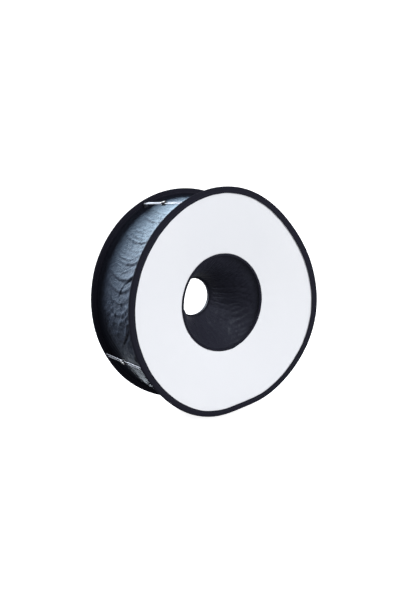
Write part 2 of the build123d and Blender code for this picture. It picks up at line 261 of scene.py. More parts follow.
class Shader:
    """A short way to write a material's nodes."""

    def __init__(self, name):
        self.material = bpy.data.materials.new(name)
        self.material.use_nodes = True
        self.tree = self.material.node_tree
        self.surface = self.tree.nodes["Principled BSDF"]

    def node(self, kind, inputs=None, **settings):
        made = self.tree.nodes.new(f"ShaderNode{kind}")
        for key, value in settings.items():
            setattr(made, key, value)
        for key, value in (inputs or {}).items():
            self.put(made, key, value)
        return made

    def put(self, node, key, value):
        """Sets an input to a value, or links it to another node's first output or to a given socket."""
        socket = node.inputs[key]
        if isinstance(value, bpy.types.NodeSocket):
            self.tree.links.new(value, socket)
        elif isinstance(value, bpy.types.Node):
            self.tree.links.new(value.outputs[0], socket)
        else:
            socket.default_value = value

    def cloth_uv(self):
        return self.node("UVMap", uv_map="cloth").outputs["UV"]

    def position(self):
        return self.node("TexCoord").outputs["Object"]

    def stretched(self, vector, scale):
        return self.node("Mapping", {"Vector": vector, "Scale": scale}).outputs[0]

    def noise(self, vector, scale, detail=3.0, roughness=0.5, distortion=0.0):
        made = self.node("TexNoise", {"Vector": vector, "Scale": scale, "Detail": detail,
                                      "Roughness": roughness, "Distortion": distortion})
        return made.outputs["Fac"]

    def ramp(self, value, low, high, start, end):
        """value from low..high to start..end, held at both ends."""
        made = self.node("MapRange", {"Value": value, "From Min": low, "From Max": high,
                                      "To Min": start, "To Max": end})
        return made.outputs["Result"]

    def mix(self, share, first, second):
        made = self.node("Mix", data_type="RGBA")
        self.put(made, "Factor", share)
        self.put(made, 6, first)
        self.put(made, 7, second)
        return made.outputs[2]

    def math(self, operation, first, second=0.0):
        return self.node("Math", {0: first, 1: second}, operation=operation).outputs[0]

    def ribs(self, vector, pitch, direction):
        """Height of round ribs, pitch apart, one after the other along X or Y."""
        scale = tau / pitch / 20.0  # a band texture of scale 1 has a wave each tau / 20
        made = self.node("TexWave", {"Vector": vector, "Scale": scale}, wave_type="BANDS",
                         bands_direction=direction, wave_profile="SIN")
        return made.outputs["Fac"]

    def threads(self, vector, pitch):
        """Height of a plain weave: two crossed sets of round threads, one over the other."""
        return self.math("MAXIMUM", self.ribs(vector, pitch, "X"), self.ribs(vector, pitch, "Y"))

    def bumped(self, *layers):
        """Stacks bump layers of (height, distance in metres, strength) and sets the surface's normal."""
        normal = None
        for height, distance, strength in layers:
            made = self.node("Bump", {"Height": height, "Distance": distance, "Strength": strength})
            if normal is not None:
                self.put(made, "Normal", normal)
            normal = made.outputs["Normal"]
        self.put(self.surface, "Normal", normal)

    def set(self, **values):
        for key, value in values.items():
            self.put(self.surface, key.replace("_", " "), value)


def nylon():
    """Thin black coated nylon: a fine weave, crushed all over, cool where it catches the light."""
    m = Shader("black_nylon")
    uv, place = m.cloth_uv(), m.position()
    clouds = m.noise(place, 9.0, 3.0)
    crushed = m.noise(m.stretched(uv, (1.0, 0.7, 1.0)), 95.0, 4.0, 0.55, 1.4)
    folded = m.math("ABSOLUTE", m.math("SUBTRACT", m.noise(uv, 48.0, 3.0, 0.5, 2.0), 0.5))
    ridges = m.ramp(folded, 0.0, 0.09, 1.0, 0.0)
    weave = m.threads(uv, WEAVE_PITCH)
    colour = m.mix(clouds, (0.0070, 0.0078, 0.0145, 1), (0.0105, 0.0118, 0.0195, 1))
    colour = m.mix(m.ramp(crushed, 0.35, 0.75, 0.0, 0.5), colour, (0.015, 0.0175, 0.026, 1))
    m.put(m.surface, "Base Color", colour)
    m.put(m.surface, "Roughness", m.ramp(crushed, 0.3, 0.7, 0.58, 0.70))
    m.set(Specular_IOR_Level=0.08, Sheen_Weight=0.01, Sheen_Roughness=0.45)
    m.set(Sheen_Tint=(0.55, 0.68, 0.85, 1.0), Specular_Tint=(0.72, 0.90, 1.0, 1.0))
    m.bumped((weave, 0.06 * MM, 0.35), (crushed, 1.8 * MM, 0.5), (ridges, 0.8 * MM, 0.6))
    return m.material


def funnel_cloth():
    """The same black nylon, gathered: finer creases that run along the funnel."""
    m = Shader("funnel_nylon")
    uv, place = m.cloth_uv(), m.position()
    streaks = m.noise(m.stretched(uv, (1.0, 0.22, 1.0)), 150.0, 3.0, 0.5, 0.8)
    crushed = m.noise(uv, 120.0, 4.0, 0.55, 1.2)
    weave = m.threads(uv, WEAVE_PITCH)
    colour = m.mix(m.noise(place, 14.0), (0.0172, 0.0170, 0.028, 1), (0.0255, 0.0258, 0.040, 1))
    colour = m.mix(m.ramp(streaks, 0.45, 0.75, 0.0, 0.45), colour, (0.030, 0.033, 0.046, 1))
    m.put(m.surface, "Base Color", colour)
    m.put(m.surface, "Roughness", m.ramp(crushed, 0.3, 0.7, 0.44, 0.62))
    m.set(Specular_IOR_Level=0.24, Sheen_Weight=0.03, Sheen_Roughness=0.45)
    m.set(Sheen_Tint=(0.55, 0.66, 0.85, 1.0), Specular_Tint=(0.82, 0.90, 1.0, 1.0))
    m.bumped((weave, 0.06 * MM, 0.35), (streaks, 2.0 * MM, 0.5), (crushed, 1.0 * MM, 0.4))
    return m.material


def tape():
    """Black binding tape: a ribbed weave, a little lint, paler where it is creased."""
    m = Shader("binding_tape")
    uv, place = m.cloth_uv(), m.position()
    ribs = m.ribs(uv, 0.9 * MM, "X")
    weave = m.threads(uv, 0.6 * MM)
    lint = m.noise(m.stretched(uv, (1.0, 2.5, 1.0)), 420.0, 2.0, 0.6)
    clouds = m.noise(place, 22.0, 4.0)
    colour = m.mix(clouds, (0.0095, 0.0098, 0.0165, 1), (0.0155, 0.0158, 0.0255, 1))
    colour = m.mix(m.ramp(lint, 0.62, 0.80, 0.0, 0.55), colour, (0.034, 0.035, 0.050, 1))
    m.put(m.surface, "Base Color", colour)
    m.put(m.surface, "Roughness", m.ramp(clouds, 0.3, 0.7, 0.70, 0.86))
    m.set(Specular_IOR_Level=0.07, Sheen_Weight=0.02, Sheen_Roughness=0.4, Sheen_Tint=(0.65, 0.68, 0.9, 1.0))
    m.bumped((ribs, 0.10 * MM, 0.5), (weave, 0.06 * MM, 0.35), (clouds, 1.2 * MM, 0.35))
    return m.material


def thread():
    """Black sewing thread, twisted."""
    m = Shader("sewing_thread")
    twist = m.noise(m.position(), 2600.0, 2.0)
    m.put(m.surface, "Base Color", m.mix(twist, (0.013, 0.013, 0.021, 1), (0.038, 0.040, 0.055, 1)))
    m.set(Roughness=0.62, Specular_IOR_Level=0.35)
    m.bumped((twist, 0.08 * MM, 0.6))
    return m.material


def diffuser_cloth():
    """White translucent nylon, drum tight, faintly blue, with its weave and a few soft pulls at the seams."""
    m = Shader("diffuser_cloth")
    uv, place = m.cloth_uv(), m.position()
    clouds = m.noise(place, 5.5, 2.0)
    fibres = m.noise(m.stretched(uv, (1.0, 6.0, 1.0)), 300.0, 2.0, 0.6)
    weave = m.threads(uv, 0.55 * MM)
    colour = m.mix(clouds, (0.800, 0.815, 0.862, 1), (0.850, 0.862, 0.895, 1))
    colour = m.mix(m.ramp(fibres, 0.4, 0.8, 0.0, 0.18), colour, (0.92, 0.94, 0.965, 1))
    m.put(m.surface, "Base Color", m.mix(m.ramp(weave, 0.2, 1.0, 0.10, 0.0), colour, (0.62, 0.66, 0.74, 1)))
    m.put(m.surface, "Roughness", m.ramp(fibres, 0.3, 0.7, 0.62, 0.74))
    m.set(Specular_IOR_Level=0.30, Sheen_Weight=0.10, Sheen_Roughness=0.5)
    m.set(Subsurface_Weight=0.12, Subsurface_Scale=0.0006, Subsurface_Radius=(1.0, 1.0, 1.0))
    m.bumped((weave, 0.05 * MM, 0.30), (clouds, 3.0 * MM, 0.25))
    return m.material


def silver_cloth():
    """Metallised lining: thin silver coat on a woven cloth, finely crazed."""
    m = Shader("silver_lining")
    uv, place = m.cloth_uv(), m.position()
    crazed = m.noise(uv, 140.0, 4.0, 0.6, 1.5)
    weave = m.threads(uv, WEAVE_PITCH)
    m.put(m.surface, "Base Color", m.mix(m.noise(place, 16.0), (0.60, 0.61, 0.64, 1), (0.74, 0.75, 0.77, 1)))
    m.put(m.surface, "Roughness", m.ramp(crazed, 0.3, 0.7, 0.26, 0.44))
    m.set(Metallic=0.85)
    m.bumped((weave, 0.05 * MM, 0.35), (crazed, 1.4 * MM, 0.5))
    return m.material


def elastic():
    """Ribbed elastic inside the collar's hem."""
    m = Shader("ribbed_elastic")
    ribs = m.ribs(m.position(), 1.1 * MM, "Y")
    fuzz = m.noise(m.position(), 900.0)
    m.put(m.surface, "Base Color", m.mix(fuzz, (0.012, 0.012, 0.014, 1), (0.030, 0.030, 0.034, 1)))
    m.set(Roughness=0.8)
    m.bumped((ribs, 0.3 * MM, 0.8), (fuzz, 0.1 * MM, 0.5))
    return m.material


def loops():
    """The fuzzy side of a hook-and-loop strap."""
    m = Shader("loop_pile")
    pile = m.noise(m.position(), 1500.0, 4.0, 0.75)
    patches = m.noise(m.position(), 60.0)
    m.put(m.surface, "Base Color", m.mix(pile, (0.006, 0.006, 0.008, 1), (0.036, 0.037, 0.046, 1)))
    m.put(m.surface, "Roughness", m.ramp(patches, 0.3, 0.7, 0.82, 0.95))
    m.set(Sheen_Weight=0.25, Sheen_Roughness=0.5, Specular_IOR_Level=0.2)
    m.bumped((pile, 0.5 * MM, 0.9), (patches, 1.0 * MM, 0.3))
    return m.material


def bright_metal(name, colour, roughness, drawn):
    """Plated metal with fine drawing marks, handling smears and a little dulling in patches."""
    m = Shader(name)
    place = m.position()
    marks = m.noise(m.stretched(place, drawn), 900.0, 3.0, 0.6)
    smears = m.noise(place, 70.0, 4.0, 0.6)
    darker = tuple(0.62 * c for c in colour) + (1.0,)
    m.put(m.surface, "Base Color", m.mix(m.ramp(smears, 0.42, 0.72, 0.0, 0.6), colour + (1.0,), darker))
    m.put(m.surface, "Roughness", m.ramp(smears, 0.3, 0.7, roughness, roughness + 0.16))
    m.set(Metallic=1.0)
    m.bumped((marks, 0.03 * MM, 0.5), (smears, 0.12 * MM, 0.2))
    return m.material


def black_plastic():
    """Moulded black plastic, finely grained, with edges rubbed a little paler."""
    m = Shader("black_plastic")
    place = m.position()
    grain = m.noise(place, 2200.0, 3.0, 0.6)
    rubs = m.noise(place, 240.0, 4.0, 0.65)
    edge = m.node("Bevel", {"Radius": 0.5 * MM}, samples=4)
    plain = m.node("NewGeometry").outputs["Normal"]
    turned = m.node("VectorMath", {0: edge, 1: plain}, operation="DOT_PRODUCT").outputs["Value"]
    worn = m.math("MULTIPLY", m.ramp(turned, 0.82, 0.99, 1.0, 0.0), m.ramp(rubs, 0.4, 0.6, 0.2, 1.0))
    m.put(m.surface, "Base Color", m.mix(worn, (0.010, 0.010, 0.013, 1), (0.070, 0.072, 0.082, 1)))
    m.put(m.surface, "Roughness", m.ramp(rubs, 0.3, 0.7, 0.38, 0.56))
    m.bumped((grain, 0.05 * MM, 0.6), (rubs, 0.1 * MM, 0.2))
    return m.material


def paint(node, material):
    """Gives a carried-over CAD node its material."""
    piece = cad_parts[node]
    piece.data.materials.clear()
    piece.data.materials.append(material)


def finish_cloth(piece, material, body, replaced=()):
    """Material and the body that a new piece moves with; hides the CAD parts it replaces."""
    piece.data.materials.clear()
    piece.data.materials.append(material)
    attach(piece, body)
    if replaced:
        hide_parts(*replaced)
    return piece


# ---- hoops and bindings ------------------------------------------------------------------------------------

def tape_section(fold, edge, half, arc_steps=14, flange_steps=7):
    """Outline of a folded tape as (radius, y from its middle), from one flange's edge to the other's."""
    flange = np.linspace(edge, fold, flange_steps, endpoint=False)
    swing = np.linspace(-pi / 2, pi / 2, arc_steps)
    side = 1.0 if fold > edge else -1.0
    arc_r, arc_y = fold + side * half * np.cos(swing), half * np.sin(swing)
    radius = np.concatenate([flange, arc_r, flange[::-1]])
    y = np.concatenate([np.full(flange_steps, -half), arc_y, np.full(flange_steps, half)])
    return radius, y


def flat_warp(theta):
    """A ring that is truly round."""
    return 0.0 * theta


def uneven_tape(theta):
    """The front rim's tape was sewn on further in at the right of the hoop."""
    return bump_at(theta, 8, 4.2, 40) * MM


def binding(name, middle_y, fold, edge, half, warp, body, replaced, thickness, ease, steps=720,
            spread=flat_warp):
    """Tape folded round a hoop. It is uneven by about ease, and its flanges reach in further by spread."""
    radius, y = tape_section(fold, edge, half)
    theta = angles(steps)[:, None]
    on_flange = np.sign(radius - fold) == np.sign(edge - fold)
    flange_share = np.clip(np.abs(radius - fold) / abs(edge - fold), 0, 1) * on_flange
    base = on_axis(theta, np.broadcast_to(radius, (steps, len(radius))), y + middle_y + 0 * theta)
    pucker = fractal(base, 0.016, 2, middle_y * 50) * ease
    lumps = fractal(base, 0.07, 2, middle_y * 90) * ease * 1.4
    wavy_edge = (fractal(base, 0.03, 2, middle_y * 70 + 3) * 0.5 * MM - spread(theta)) * flange_share
    r = radius + warp(theta) + lumps * 0.6 + wavy_edge
    # The flanges come a tenth closer together than the fold is wide, and pucker more than the fold does.
    uneven = (pucker + lumps * 0.4) * (0.35 + 0.65 * flange_share) * np.sign(y)
    piece = grid_object(name, on_axis(theta, r, middle_y + y * (1.0 - 0.10 * flange_share) + uneven))
    thicken(piece, thickness, -1.0 if fold > edge else 1.0)
    finish_cloth(piece, TAPE, body, replaced)
    return piece


def stitches(name, middle_y, radius, half, warp, body, pitch=3.4 * MM):
    """A row of stitches on each face of a binding: short threads that dip into the tape at both ends."""
    count = int(tau * radius / pitch)
    around, along = 6, 5
    share = np.linspace(-1, 1, along)
    rise = np.sqrt(np.clip(1 - share ** 2, 0, 1))
    spin = angles(around)
    verts, faces = [], []
    for face in (-1.0, 1.0):
        for index in range(count):
            middle = tau * index / count
            theta = middle + share * pitch * 0.36 / radius
            local = radius + warp(theta)
            for k in range(along):
                thick = (0.10 + 0.14 * rise[k]) * MM
                r = local[k] + thick * np.cos(spin)
                y = middle_y + face * (half + (0.10 * rise[k] - 0.04) * MM + thick * np.sin(spin))
                verts.append(on_axis(np.full(around, theta[k]), r, y))
    rings = len(verts)
    for ring in range(rings):
        if ring % along == along - 1:
            continue
        start = ring * around
        for k in range(around):
            nxt = (k + 1) % around
            faces.append((start + k, start + nxt, start + around + nxt, start + around + k))
    for first in range(0, rings, along):
        faces.append(tuple(first * around + k for k in reversed(range(around))))
        faces.append(tuple((first + along - 1) * around + k for k in range(around)))
    mesh = bpy.data.meshes.new(name)
    mesh.from_pydata(np.concatenate(verts).tolist(), [], faces)
    mesh.polygons.foreach_set("use_smooth", [True] * len(mesh.polygons))
    piece = bpy.data.objects.new(name, mesh)
    bpy.context.collection.objects.link(piece)
    return finish_cloth(piece, THREAD, body)


def sprung_band(name, middle_y, warp, body, replaced):
    """The flat spring-steel band in a rim, out of round as its binding is."""
    theta = angles(360)[:, None]
    thick, wide, corner = 0.5 * MM, 1.8 * MM, 0.15 * MM  # half thickness, half width, cut corner
    r = np.array([-thick, corner - thick, thick - corner, thick])
    r = np.concatenate([r, r[::-1]])
    y = np.array([corner - wide, -wide, -wide, corner - wide])
    y = np.concatenate([y, -y])
    points = on_axis(theta, FOLD_RADIUS + r + warp(theta), middle_y + y + 0 * theta)
    piece = grid_object(name, points, wrap_v=True)
    return finish_cloth(piece, SPRING, body, replaced)


# ---- cloth -------------------------------------------------------------------------------------------------

def side_points(steps, rows):
    """The drum's cloth between the two bindings, following both hoops' shapes. It is drawn in most just in
    front of the rear hoop and slopes out to the front one."""
    seam, deepest, lip_share = 1.2 * MM, 0.90, 0.018
    theta = angles(steps)[:, None]
    share = np.linspace(0, 1, rows)[None, :]
    y = FRONT_Y + seam + share * (REAR_Y - FRONT_Y - 2 * seam)
    edge = (1 - share) * front_warp(theta) + share * rear_warp(theta)
    dip = 6.8 * MM + bump_at(theta, 142, 5.0, 26) * MM - bump_at(theta, 178, 3.0, 14) * MM
    rise = np.clip(share / deepest, 0, 1)
    fall = 1 - np.clip((share - deepest) / 0.10, 0, 1) ** 1.8
    # Both edges turn outwards into their bindings, clear of the struts' brackets.
    lip = 2.4 * MM * np.clip(np.minimum(share, 1 - share) / lip_share, 0, 1)
    waist = dip * rise * fall + lip
    return on_axis(theta, CLOTH_EDGE + edge * 0.9 - waist, y + 0 * theta)


def fold_line(theta, share, start, end, width, depth):
    """A sharp fold from start to end, each (degrees, share of the width), sunk by depth at its middle."""
    (a0, s0), (a1, s1) = start, end
    scale = radians(1.0) * RIM_RADIUS
    px, py = np.degrees(theta) * scale, share * (REAR_Y - FRONT_Y)
    x0, y0 = a0 * scale, s0 * (REAR_Y - FRONT_Y)
    dx, dy = a1 * scale - x0, s1 * (REAR_Y - FRONT_Y) - y0
    length = sqrt(dx * dx + dy * dy)
    along = ((px - x0) * dx + (py - y0) * dy) / length ** 2
    across = ((px - x0) * dy - (py - y0) * dx) / length
    taper = np.clip(np.sin(np.clip(along, 0, 1) * pi), 0, 1) ** 0.6
    ridge = np.exp(-np.abs(across + width * 0.9) / width)
    groove = np.exp(-(across / (width * 0.55)) ** 2)
    return taper * depth * (0.7 * ridge - groove)


SIDE_FOLDS = (
    # start, end, width, depth: each end is (degrees, share of the width)
    ((160.0, 0.06), (167.5, 0.46), 2.4 * MM, 5.5 * MM),
    ((166.5, 0.42), (175.5, 0.54), 2.2 * MM, 4.6 * MM),
    ((156.0, 0.62), (150.0, 0.24), 2.0 * MM, 4.6 * MM),
    ((162.0, 0.68), (155.5, 0.30), 1.8 * MM, 3.4 * MM),
    ((134.0, 0.90), (152.0, 0.68), 1.8 * MM, 2.4 * MM),
    ((129.0, 0.88), (149.0, 0.58), 1.7 * MM, 2.2 * MM),
    ((126.0, 0.78), (148.0, 0.40), 1.7 * MM, 2.0 * MM),
    ((170.0, 0.76), (182.0, 0.62), 2.2 * MM, 2.6 * MM),
    ((186.0, 0.82), (196.0, 0.38), 2.6 * MM, 2.8 * MM),
    ((190.0, 0.18), (203.0, 0.55), 2.4 * MM, 2.2 * MM),
    ((216.0, 0.58), (236.0, 0.80), 3.0 * MM, 3.2 * MM),
    ((222.0, 0.26), (232.0, 0.66), 2.6 * MM, 2.8 * MM),
)


def side_wall():
    """Black nylon drum with its silver lining. The cloth is a little slack, so it sags and crumples."""
    steps, rows = ((540, 56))
    piece = grid_object("side_wall_cloth", side_points(steps, rows))
    kick = points_of(piece).reshape(steps, rows, 3)
    push = fractal(kick, 0.034, 3, 2.0) * 1.3 * MM
    free = np.sin(np.linspace(0, pi, rows)) ** 0.5
    set_points(piece, (kick + outward(kick) * (push * free)[..., None]).reshape(-1, 3))
    index = np.arange(steps * rows).reshape(steps, rows)
    pinned = np.concatenate([index[:, :3].ravel(), index[:, -3:].ravel()])
    settle(piece, pinned, slack=0.004, frames=22)
    grid = points_of(piece).reshape(steps, rows, 3)
    theta = (np.arctan2(grid[..., 2], grid[..., 0])) % tau
    share = np.broadcast_to(np.linspace(0, 1, rows), (steps, rows))
    free = np.clip(np.sin(share * pi) * 2.2, 0, 1)
    lift = np.zeros((steps, rows))
    for start, end, width, depth in SIDE_FOLDS:
        lift += fold_line(theta, share, start, end, width, depth)
    crushed = np.clip(fractal(grid, 0.09, 2, 5.0) * 1.6 + 0.75, 0.15, 1.3)
    lift += (creases(grid * np.array([1.0, 1.5, 1.0]), 0.021, 1.0) * 1.5 - 0.4) * MM * crushed
    lift += (creases(grid * np.array([1.2, 0.9, 1.0]), 0.011, 4.0) * 0.6 - 0.2) * MM * crushed
    radial = outward(grid)
    grid = grid + radial * (lift * free)[..., None]
    set_points(piece, grid.reshape(-1, 3))
    lining = grid_object("side_wall_lining", grid - radial * LINING_GAP)
    thicken(piece, NYLON_THICKNESS)
    thicken(lining, LINING_THICKNESS)
    finish_cloth(piece, NYLON, "rear_frame", ("side_wall",))
    finish_cloth(lining, SILVER, "rear_frame", ("side_lining",))
    for cloth in (piece, lining):
        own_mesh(cloth)


def funnel_points(steps, rows):
    """Cone from the front hole's binding to the mouth of the lens collar."""
    theta = angles(steps)[:, None]
    share = np.linspace(0, 1, rows)[None, :]
    front_r, rear_r = HOLE_EDGE - 1.0 * MM, LENS_RADIUS + 1.5 * MM
    front_y, rear_y = HOLE_Y + 1.0 * MM, COLLAR_LOW.y + 3.0 * MM
    radius = front_r + share * (rear_r - front_r) + (1 - share) * hole_warp(theta)
    return on_axis(theta, radius, front_y + share * (rear_y - front_y) + 0 * theta)


def funnel():
    """Black nylon funnel with its lining, gathered onto the collar, so that pleats run along it."""
    steps, rows = ((432, 48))
    piece = grid_object("funnel_cloth", funnel_points(steps, rows))
    grid = points_of(piece).reshape(steps, rows, 3)
    around = np.arctan2(grid[..., 2], grid[..., 0])
    start = np.sin(around * 23 + 2.0 * np.sin(around * 3)) * 0.4 * MM
    free = np.sin(np.linspace(0, pi, rows)) ** 0.5
    set_points(piece, (grid + outward(grid) * (start * free)[..., None]).reshape(-1, 3))
    index = np.arange(steps * rows).reshape(steps, rows)
    pinned = np.concatenate([index[:, :3].ravel(), index[:, -4:].ravel()])
    settle(piece, pinned, slack=0.009, frames=24, bending=0.3)
    grid = points_of(piece).reshape(steps, rows, 3)
    theta = np.arctan2(grid[..., 2], grid[..., 0])
    share = np.broadcast_to(np.linspace(0, 1, rows), (steps, rows))
    free = np.clip(np.sin(share * pi) * 1.8, 0, 1)
    cone = on_axis(theta, 60 * MM, grid[..., 1] * 0.22)
    pleats = (creases(cone, 0.0125, 3.0, 2.0) * 2.0 - 0.6) * MM * (0.4 + 0.8 * share)
    crushed = (creases(grid, 0.014, 6.0) * 1.0 - 0.3) * MM
    # The cloth bulges towards the lens at the lower left.
    bulge = bump_at(theta, 217, 12.0, 13) * np.exp(-((share - 0.80) / 0.14) ** 2) * MM
    radial = outward(grid)
    lift = (pleats + crushed) * free - bulge
    grid = grid + radial * lift[..., None]
    set_points(piece, grid.reshape(-1, 3))
    lining = grid_object("funnel_lining_cloth", (grid + radial * LINING_GAP)[:, :-2])
    thicken(piece, NYLON_THICKNESS)
    thicken(lining, LINING_THICKNESS)
    finish_cloth(piece, FUNNEL, "rear_frame", ("funnel",))
    finish_cloth(lining, SILVER, "rear_frame", ("funnel_lining",))
    for cloth in (piece, lining):
        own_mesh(cloth)


def dish_points(steps, rows, outer, inner, outer_warp, inner_warp):
    """A taut cloth ring between two radii, each (radius, y), running straight from one to the other."""
    (r_out, y_out), (r_in, y_in) = outer, inner
    theta = angles(steps)[:, None]
    share = np.linspace(0, 1, rows)[None, :]
    radius = r_out + share * (r_in - r_out) + (1 - share) * outer_warp(theta) + share * inner_warp(theta)
    return on_axis(theta, radius, y_out + share * (y_in - y_out) + 0 * theta), share + 0 * theta


def puckers(points, share, depth, waves=36, seed=0.0):
    """Short soft pulls that fan out from both seams of a taut ring."""
    theta = np.arctan2(points[..., 2], points[..., 0])
    uneven = 0.5 + 0.5 * fractal(points, 0.08, 2, seed)
    pulls = np.sin(theta * waves + 3 * np.sin(theta * 5 + seed)) * np.exp(-share * 9.0)
    pulls += np.sin(theta * waves * 0.6 + 2 * np.sin(theta * 3 + seed)) * np.exp(-(1 - share) * 6.0)
    return pulls * uneven * depth


def front_diffuser():
    """The white cloth ring between the front rim and the front hole."""
    steps, rows = 480, 40
    outer = (CLOTH_EDGE + 1.0 * MM, FRONT_Y - 1.9 * MM)
    inner = (HOLE_FOLD + 2.4 * MM, HOLE_Y - 1.1 * MM)
    points, share = dish_points(steps, rows, outer, inner, front_warp, hole_warp)
    sag = fractal(points, 0.16, 2, 8.0) * 1.2 * MM * np.sin(share * pi)
    free = np.clip(np.sin(share * pi) * 4.0, 0, 1)
    points[..., 1] += sag + puckers(points, share, 0.45 * MM) * free
    piece = grid_object("front_diffuser_cloth", points)
    thicken(piece, TAUT_THICKNESS)
    finish_cloth(piece, DIFFUSER, "front_frame", ("front_diffuser",))


def cut_for_sleeve(piece, gap):
    """Cuts the flash sleeve's rounded opening out of a rear cloth, and draws the cut edge onto its line."""
    middle_z = (SLEEVE_LOW.z + SLEEVE_HIGH.z) / 2
    half = Vector((SLEEVE_HIGH.x + gap, (SLEEVE_HIGH.z - SLEEVE_LOW.z) / 2 + gap))
    corner = 9.0 * MM + gap

    def way_out(co):
        """Signed distance from the opening's line, below 0 inside it, and the way out."""
        dx, dz = abs(co.x) - (half.x - corner), abs(co.z - middle_z) - (half.y - corner)
        out = Vector((max(dx, 0.0), max(dz, 0.0)))
        distance = out.length - corner if out.length > 0 else max(dx, dz) - corner
        if out.length == 0:
            out = Vector((1.0, 0.0)) if dx > dz else Vector((0.0, 1.0))
        out.normalize()
        side_x = 1 if co.x >= 0 else -1
        side_z = 1 if co.z >= middle_z else -1
        return distance, Vector((out.x * side_x, 0, out.y * side_z))

    shape = bmesh.new()
    shape.from_mesh(piece.data)
    doomed = [f for f in shape.faces if all(way_out(v.co)[0] < 0 for v in f.verts)]
    bmesh.ops.delete(shape, geom=doomed, context="FACES")
    for vert in shape.verts:
        distance, out = way_out(vert.co)
        if vert.is_boundary and abs(distance) < 8 * MM:
            vert.co -= out * distance
    shape.to_mesh(piece.data)
    shape.free()
    piece.data.update()


def rear_cloths():
    """The black rear panel and the silver lining on its inner face."""
    steps, rows = 480, 64
    edge = COLLAR_RADIUS + 0.3 * MM
    for name, drop, material, slot, node in (
        ("rear_panel_cloth", 0.0, NYLON, "black_nylon", "rear_panel"),
        ("rear_panel_lining", LINING_GAP, SILVER, "silver_cloth", "rear_lining"),
    ):
        outer = (CLOTH_EDGE + 1.0 * MM, REAR_Y + 1.5 * MM - drop)
        points, share = dish_points(steps, rows, outer, (edge, 1.3 * MM - drop), rear_warp, flat_warp)
        free = np.clip(np.sin(share * pi) * 3.0, 0, 1)
        wrinkles = puckers(points, share, 1.0 * MM, 28, 2.0)
        wrinkles += (creases(points * np.array([1, 0, 1]), 0.05, 9.0) * 1.4 - 0.5) * MM
        points[..., 1] += wrinkles * free
        piece = grid_object(name, points)
        cut_for_sleeve(piece, 0.2 * MM)
        thicken(piece, TAUT_THICKNESS)
        finish_cloth(piece, material, "rear_frame", (node,))


# ---- lens collar and flash sleeve --------------------------------------------------------------------------

def collar():
    """Hem over the elastic: two cloth walls joined at the rear, gathered into small even puckers."""
    steps = 540
    theta = angles(steps)[:, None]
    inner, outer = LENS_RADIUS + 0.4 * MM, COLLAR_RADIUS - 0.4 * MM
    front, rear = COLLAR_LOW.y + 0.3 * MM, COLLAR_HIGH.y - 0.5 * MM
    swing = np.linspace(0, pi, 9)
    middle, half = (inner + outer) / 2, (outer - inner) / 2
    walls = np.linspace(front, rear - half, 10, endpoint=False)
    radius = np.concatenate([np.full(10, inner), middle - half * np.cos(swing), np.full(10, outer)])
    y = np.concatenate([walls, rear - half + half * np.sin(swing), walls[::-1]])
    gathers = np.sin(theta * 66 + 1.4 * np.sin(theta * 7)) * (0.55 + 0.3 * np.sin(theta * 5))
    shape = np.sin(np.clip((y - front) / (rear - front), 0, 1) * pi) ** 0.7
    freedom = np.where(radius > middle, 1.0, 0.25)
    radius = radius + gathers * shape * freedom * 0.5 * MM
    piece = grid_object("lens_collar_hem", on_axis(theta, radius, y + gathers * 0.12 * MM))
    thicken(piece, 0.6 * MM)
    finish_cloth(piece, FUNNEL, "rear_frame", ("lens_collar",))
    stitch_y, stitch_radius = COLLAR_LOW.y + 6.0 * MM, outer + 0.5 * MM
    stitches("collar_stitching", stitch_y, stitch_radius, 0.0, flat_warp, "rear_frame", COLLAR_STITCH_PITCH)


def rounded_outline(width, height, corner, per_corner=10, per_side=14):
    """A rounded rectangle as (x, z, normal x, normal z), anticlockwise from the middle of the right side."""
    points = []
    for quarter in range(4):
        turn = quarter * pi / 2
        cx = (width / 2 - corner) * (1 if quarter in (0, 3) else -1)
        cz = (height / 2 - corner) * (1 if quarter in (0, 1) else -1)
        for angle in np.linspace(turn, turn + pi / 2, per_corner):
            nx, nz = cos(angle), sin(angle)
            points.append((cx + corner * nx, cz + corner * nz, nx, nz))
        here = points[-1]
        span = (width if quarter % 2 == 0 else height) - 2 * corner
        direction = Vector((-here[3], here[2]))
        for step in range(1, per_side):
            shift = direction * (span * step / per_side)
            points.append((here[0] + shift.x, here[1] + shift.y, here[2], here[3]))
    return np.array(points)


def tube_places(outline, ys):
    """Points of a tube along Y on an outline, for noise that is smooth over it."""
    shape = (len(outline), len(ys))
    x, y, z = outline[:, :1], ys, outline[:, 1:2]
    return np.stack([np.broadcast_to(values, shape) for values in (x, y, z)], axis=-1)


def tube_cloth(name, outline, ys, middle_z, lift):
    """A cloth tube along Y on a rounded outline. lift moves each point along the outline's normal."""
    x, z, nx, nz = outline.T
    points = np.stack([
        x[:, None] + nx[:, None] * lift,
        np.broadcast_to(ys, lift.shape),
        middle_z + z[:, None] + nz[:, None] * lift,
    ], axis=-1)
    return grid_object(name, points)


